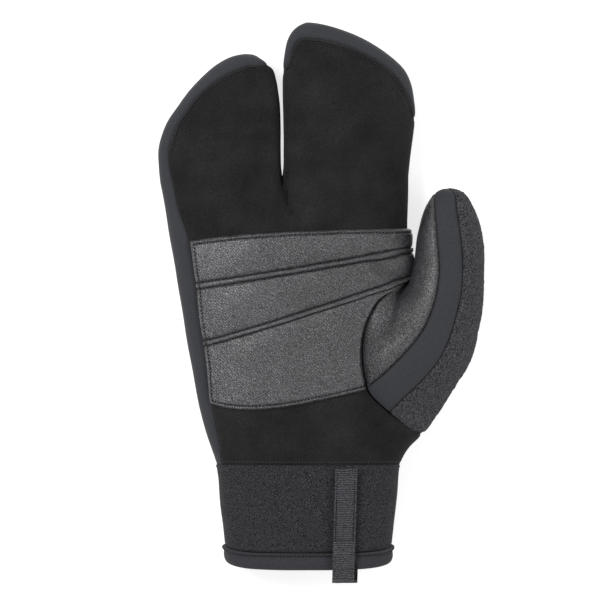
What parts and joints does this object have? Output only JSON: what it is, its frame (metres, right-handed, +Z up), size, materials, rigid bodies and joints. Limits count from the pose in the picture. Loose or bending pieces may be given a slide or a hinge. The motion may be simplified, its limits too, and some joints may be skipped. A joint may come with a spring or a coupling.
{
  "type": "three-finger winter glove",
  "caption": "Padded right-hand winter glove with two finger pockets and a thumb, suede palm, grained leather patch, softshell back, stretch cuff and webbing pull loop, lying palm up.",
  "frame": {"origin": "bottom centre of the glove's box, on the surface that its back lies on", "axes": "+Y to the fingertips, +X to the thumb side, +Z up out of the palm"},
  "size_m": [0.153, 0.2632, 0.0447],
  "materials": {
    "suede": "black napped suede",
    "softshell": "slate grey brushed softshell",
    "grained_leather": "dark grey pebbled leather, satin",
    "fleece": "dark grey pebbly fleece",
    "neoprene": "fine jersey over neoprene",
    "hem_tape": "stretch hem tape",
    "webbing": "ribbed polyester webbing"
  },
  "bodies": {
    "root": {"palm_panel": "suede", "back_panel": "softshell", "palm_patch": "grained_leather", "thumb_palm": "grained_leather", "thumb_gusset": "softshell", "thumb_back": "fleece", "cuff": "neoprene", "cuff_hem": "hem_tape", "pull_loop": "webbing"}
  },
  "joints": []
}
